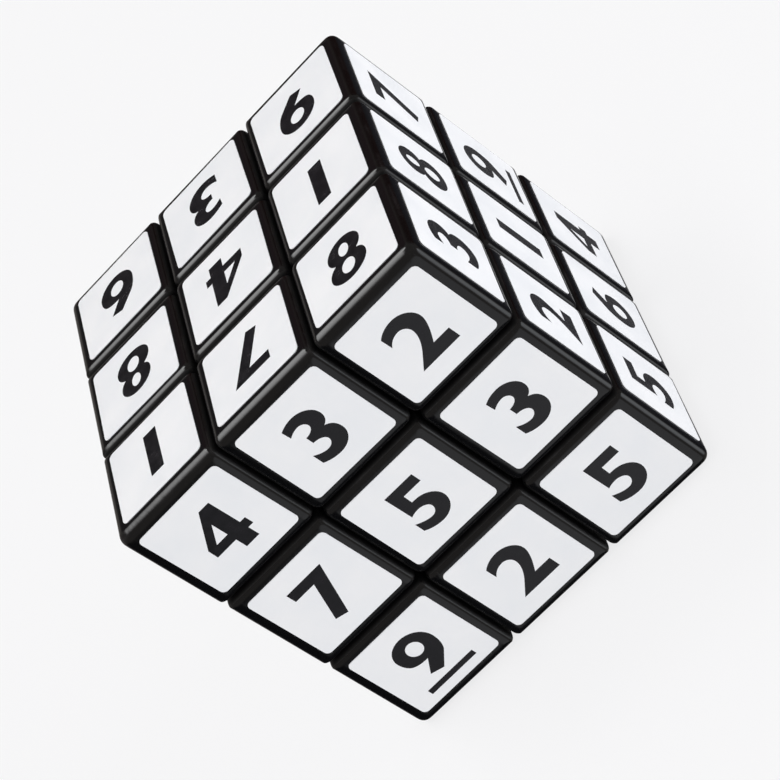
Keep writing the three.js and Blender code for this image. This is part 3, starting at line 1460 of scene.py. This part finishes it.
@dataclass
class Studio:
    """The pale floor, the soft light and the camera at the photograph's viewing angle.

    The cube was pictured standing on a corner and lies flat here, so the camera leans instead. What the
    gloss mirrors leans with it: the surroundings are set out for the picture's own up and down. The floor
    and the wall that it bends up into give the even light and what the camera sees.
    """

    middle_height: float = CUBE / 2
    azimuth: float = 21.29
    elevation: float = 31.08
    roll: float = -56.21
    distance: float = 408.3
    aim_right: float = 1.68  # where the camera aims, from the cube's middle, in its own right and up
    aim_up: float = -1.58
    lens: float = 135.0
    sensor: float = 36.0
    clip_start: float = 10.0
    clip_end: float = 50000.0
    floor_radius: float = 2500.0
    floor_bend: float = 800.0
    wall_height: float = 2500.0
    floor_height: float = -0.14
    floor_steps: tuple[int, int] = (72, 12)  # around, and up the bend
    paper: GlowingPaper = GlowingPaper()
    room_colour: str = "#8f8a86"  # the dim room all round, under the patches
    # Each patch is painted over the ones before it.
    surroundings: tuple[Glow, ...] = (
        Glow("shade_under_cube", (-0.55, -0.35, -0.76), 30.0, 50.0, "#555a66", 0.12),
        Glow("white_table", (-0.02, -0.8, -0.6), 17.0, 24.0, "#fbfcff", 0.7),
        Glow("dark_ceiling", (0.35, 0.9, 0.1), 18.0, 48.0, "#6a3c30", 0.3),
        Glow("dark_right_wall", (0.55, 0.65, -0.52), 24.0, 34.0, "#5a5a62", 0.45),
        Glow("white_backdrop", (-0.31, 0.8, -0.51), 14.0, 32.0, "#ffffff", 1.5),
        Glow("right_window", (0.82, -0.25, -0.516), 9.0, 27.0, "#f6faff", 2.0),
        Glow("window_end", (0.93, -0.2, -0.25), 5.0, 15.0, "#f8faff", 2.6),
        Glow("left_softbox", (-0.31, 0.23, 0.92), 10.0, 50.0, "#ffffff", 5.6, squeeze=(4.8, 1.0, 1.0)),
        Glow("softbox_end", (-0.17, 0.4, 0.9), 4.0, 10.0, "#ffffff", 7.0),
        Glow("dark_back_wall", (-0.31, 0.8, 0.52), 10.0, 19.0, "#4a4446", 0.9),
        Glow("brown_curtain", (-0.13, 0.79, 0.6), 6.0, 13.0, "#7c6165", 0.45),
    )
    lamps: tuple[SoftBox, ...] = (
        SoftBox("right_softbox", (0.97, -0.05, 0.22), 700.0, 400.0, 400.0, 3.5, "#f8faff"),
    )

    def floor(self) -> None:
        """Lays the floor: a flat disc whose rim bends up into a wall. The gloss doesn't mirror it.

        It is a profile, a quarter of a circle and then a straight wall, carried round the upright axis.
        """
        around, up = self.floor_steps
        angle = np.linspace(0, 2 * np.pi, around, endpoint=False)
        rise = np.linspace(0, np.pi / 2, up + 1)
        radius = self.floor_radius + self.floor_bend * np.sin(rise)
        height = self.floor_height + self.floor_bend * (1 - np.cos(rise))
        radius = np.append(radius, radius[-1])[:, None]
        height = np.append(height, height[-1] + self.wall_height)[:, None]
        x, y = radius * np.cos(angle), radius * np.sin(angle)
        points = np.stack([x, y, np.broadcast_to(height, x.shape)], -1)
        number = np.arange(x.size).reshape(x.shape)
        following = np.roll(number, -1, axis=1)
        ring = [number[:-1], number[1:], following[1:], following[:-1]]
        faces = np.stack(ring, -1).reshape(-1, 4).tolist() + [number[0].tolist()]
        mesh = bpy.data.meshes.new("pale_floor")
        mesh.from_pydata((points.reshape(-1, 3) * MM).tolist(), [], faces)
        mesh.materials.append(self.paper.make())
        piece = bpy.data.objects.new("pale_floor", mesh)
        piece.visible_glossy = False
        bpy.context.scene.collection.objects.link(piece)

    def world(self) -> None:
        """Paints the surroundings: the dim room and then each patch over the ones before it."""
        world = bpy.data.worlds.new("studio_surroundings")
        world.use_nodes = True
        tree = world.node_tree
        tree.nodes.clear()
        place = add_node(tree, "ShaderNodeTexCoord")
        painted: Colour | bpy.types.NodeSocket = linear(self.room_colour)
        for glow in self.surroundings:
            painted = glow.paint(tree, place.outputs["Generated"], painted)
        light = add_node(tree, "ShaderNodeBackground", {"Color": painted})
        add_node(tree, "ShaderNodeOutputWorld", {"Surface": light.outputs[0]})
        bpy.context.scene.world = world

    def camera(self) -> None:
        """Sets up the camera from its azimuth, elevation, roll and distance."""
        a, e, r = (math.radians(angle) for angle in (self.azimuth, self.elevation, self.roll))
        back = Vector((math.sin(a) * math.cos(e), -math.cos(a) * math.cos(e), math.sin(e)))
        flat = Vector((math.cos(a), math.sin(a), 0))
        steep = back.cross(flat)
        right = flat * math.cos(r) + steep * math.sin(r)
        up = back.cross(right)
        aim = Vector((0, 0, self.middle_height)) + right * self.aim_right + up * self.aim_up
        lens = bpy.data.cameras.new("picture_camera")
        lens.sensor_width = self.sensor
        lens.lens = self.lens
        lens.clip_start = self.clip_start * MM
        lens.clip_end = self.clip_end * MM
        camera = bpy.data.objects.new("picture_camera", lens)
        turn = Matrix((right, up, back)).transposed().to_4x4()
        camera.matrix_world = Matrix.Translation((aim + back * self.distance) * MM) @ turn
        bpy.context.scene.collection.objects.link(camera)
        bpy.context.scene.camera = camera

    def build(self) -> None:
        """Builds the studio, and shows colours as they are so that the white vinyl stays white."""
        bpy.context.scene.view_settings.view_transform = "Standard"
        self.floor()
        self.world()
        middle = Vector((0, 0, self.middle_height)) * MM
        for lamp in self.lamps:
            lamp.build(middle)
        self.camera()
        LOG.info("studio with %d patches and %d lamp", len(self.surroundings), len(self.lamps))


def main() -> None:
    """Builds the cube and its studio, in order."""
    logging.basicConfig(level=logging.INFO, format="%(message)s")
    palette = Palette()
    mouldings = Mouldings()
    mouldings.build(palette)
    Labels(mouldings).build(palette)
    Insides().dress(palette)
    Studio().build()


if __name__ == "__main__":
    main()
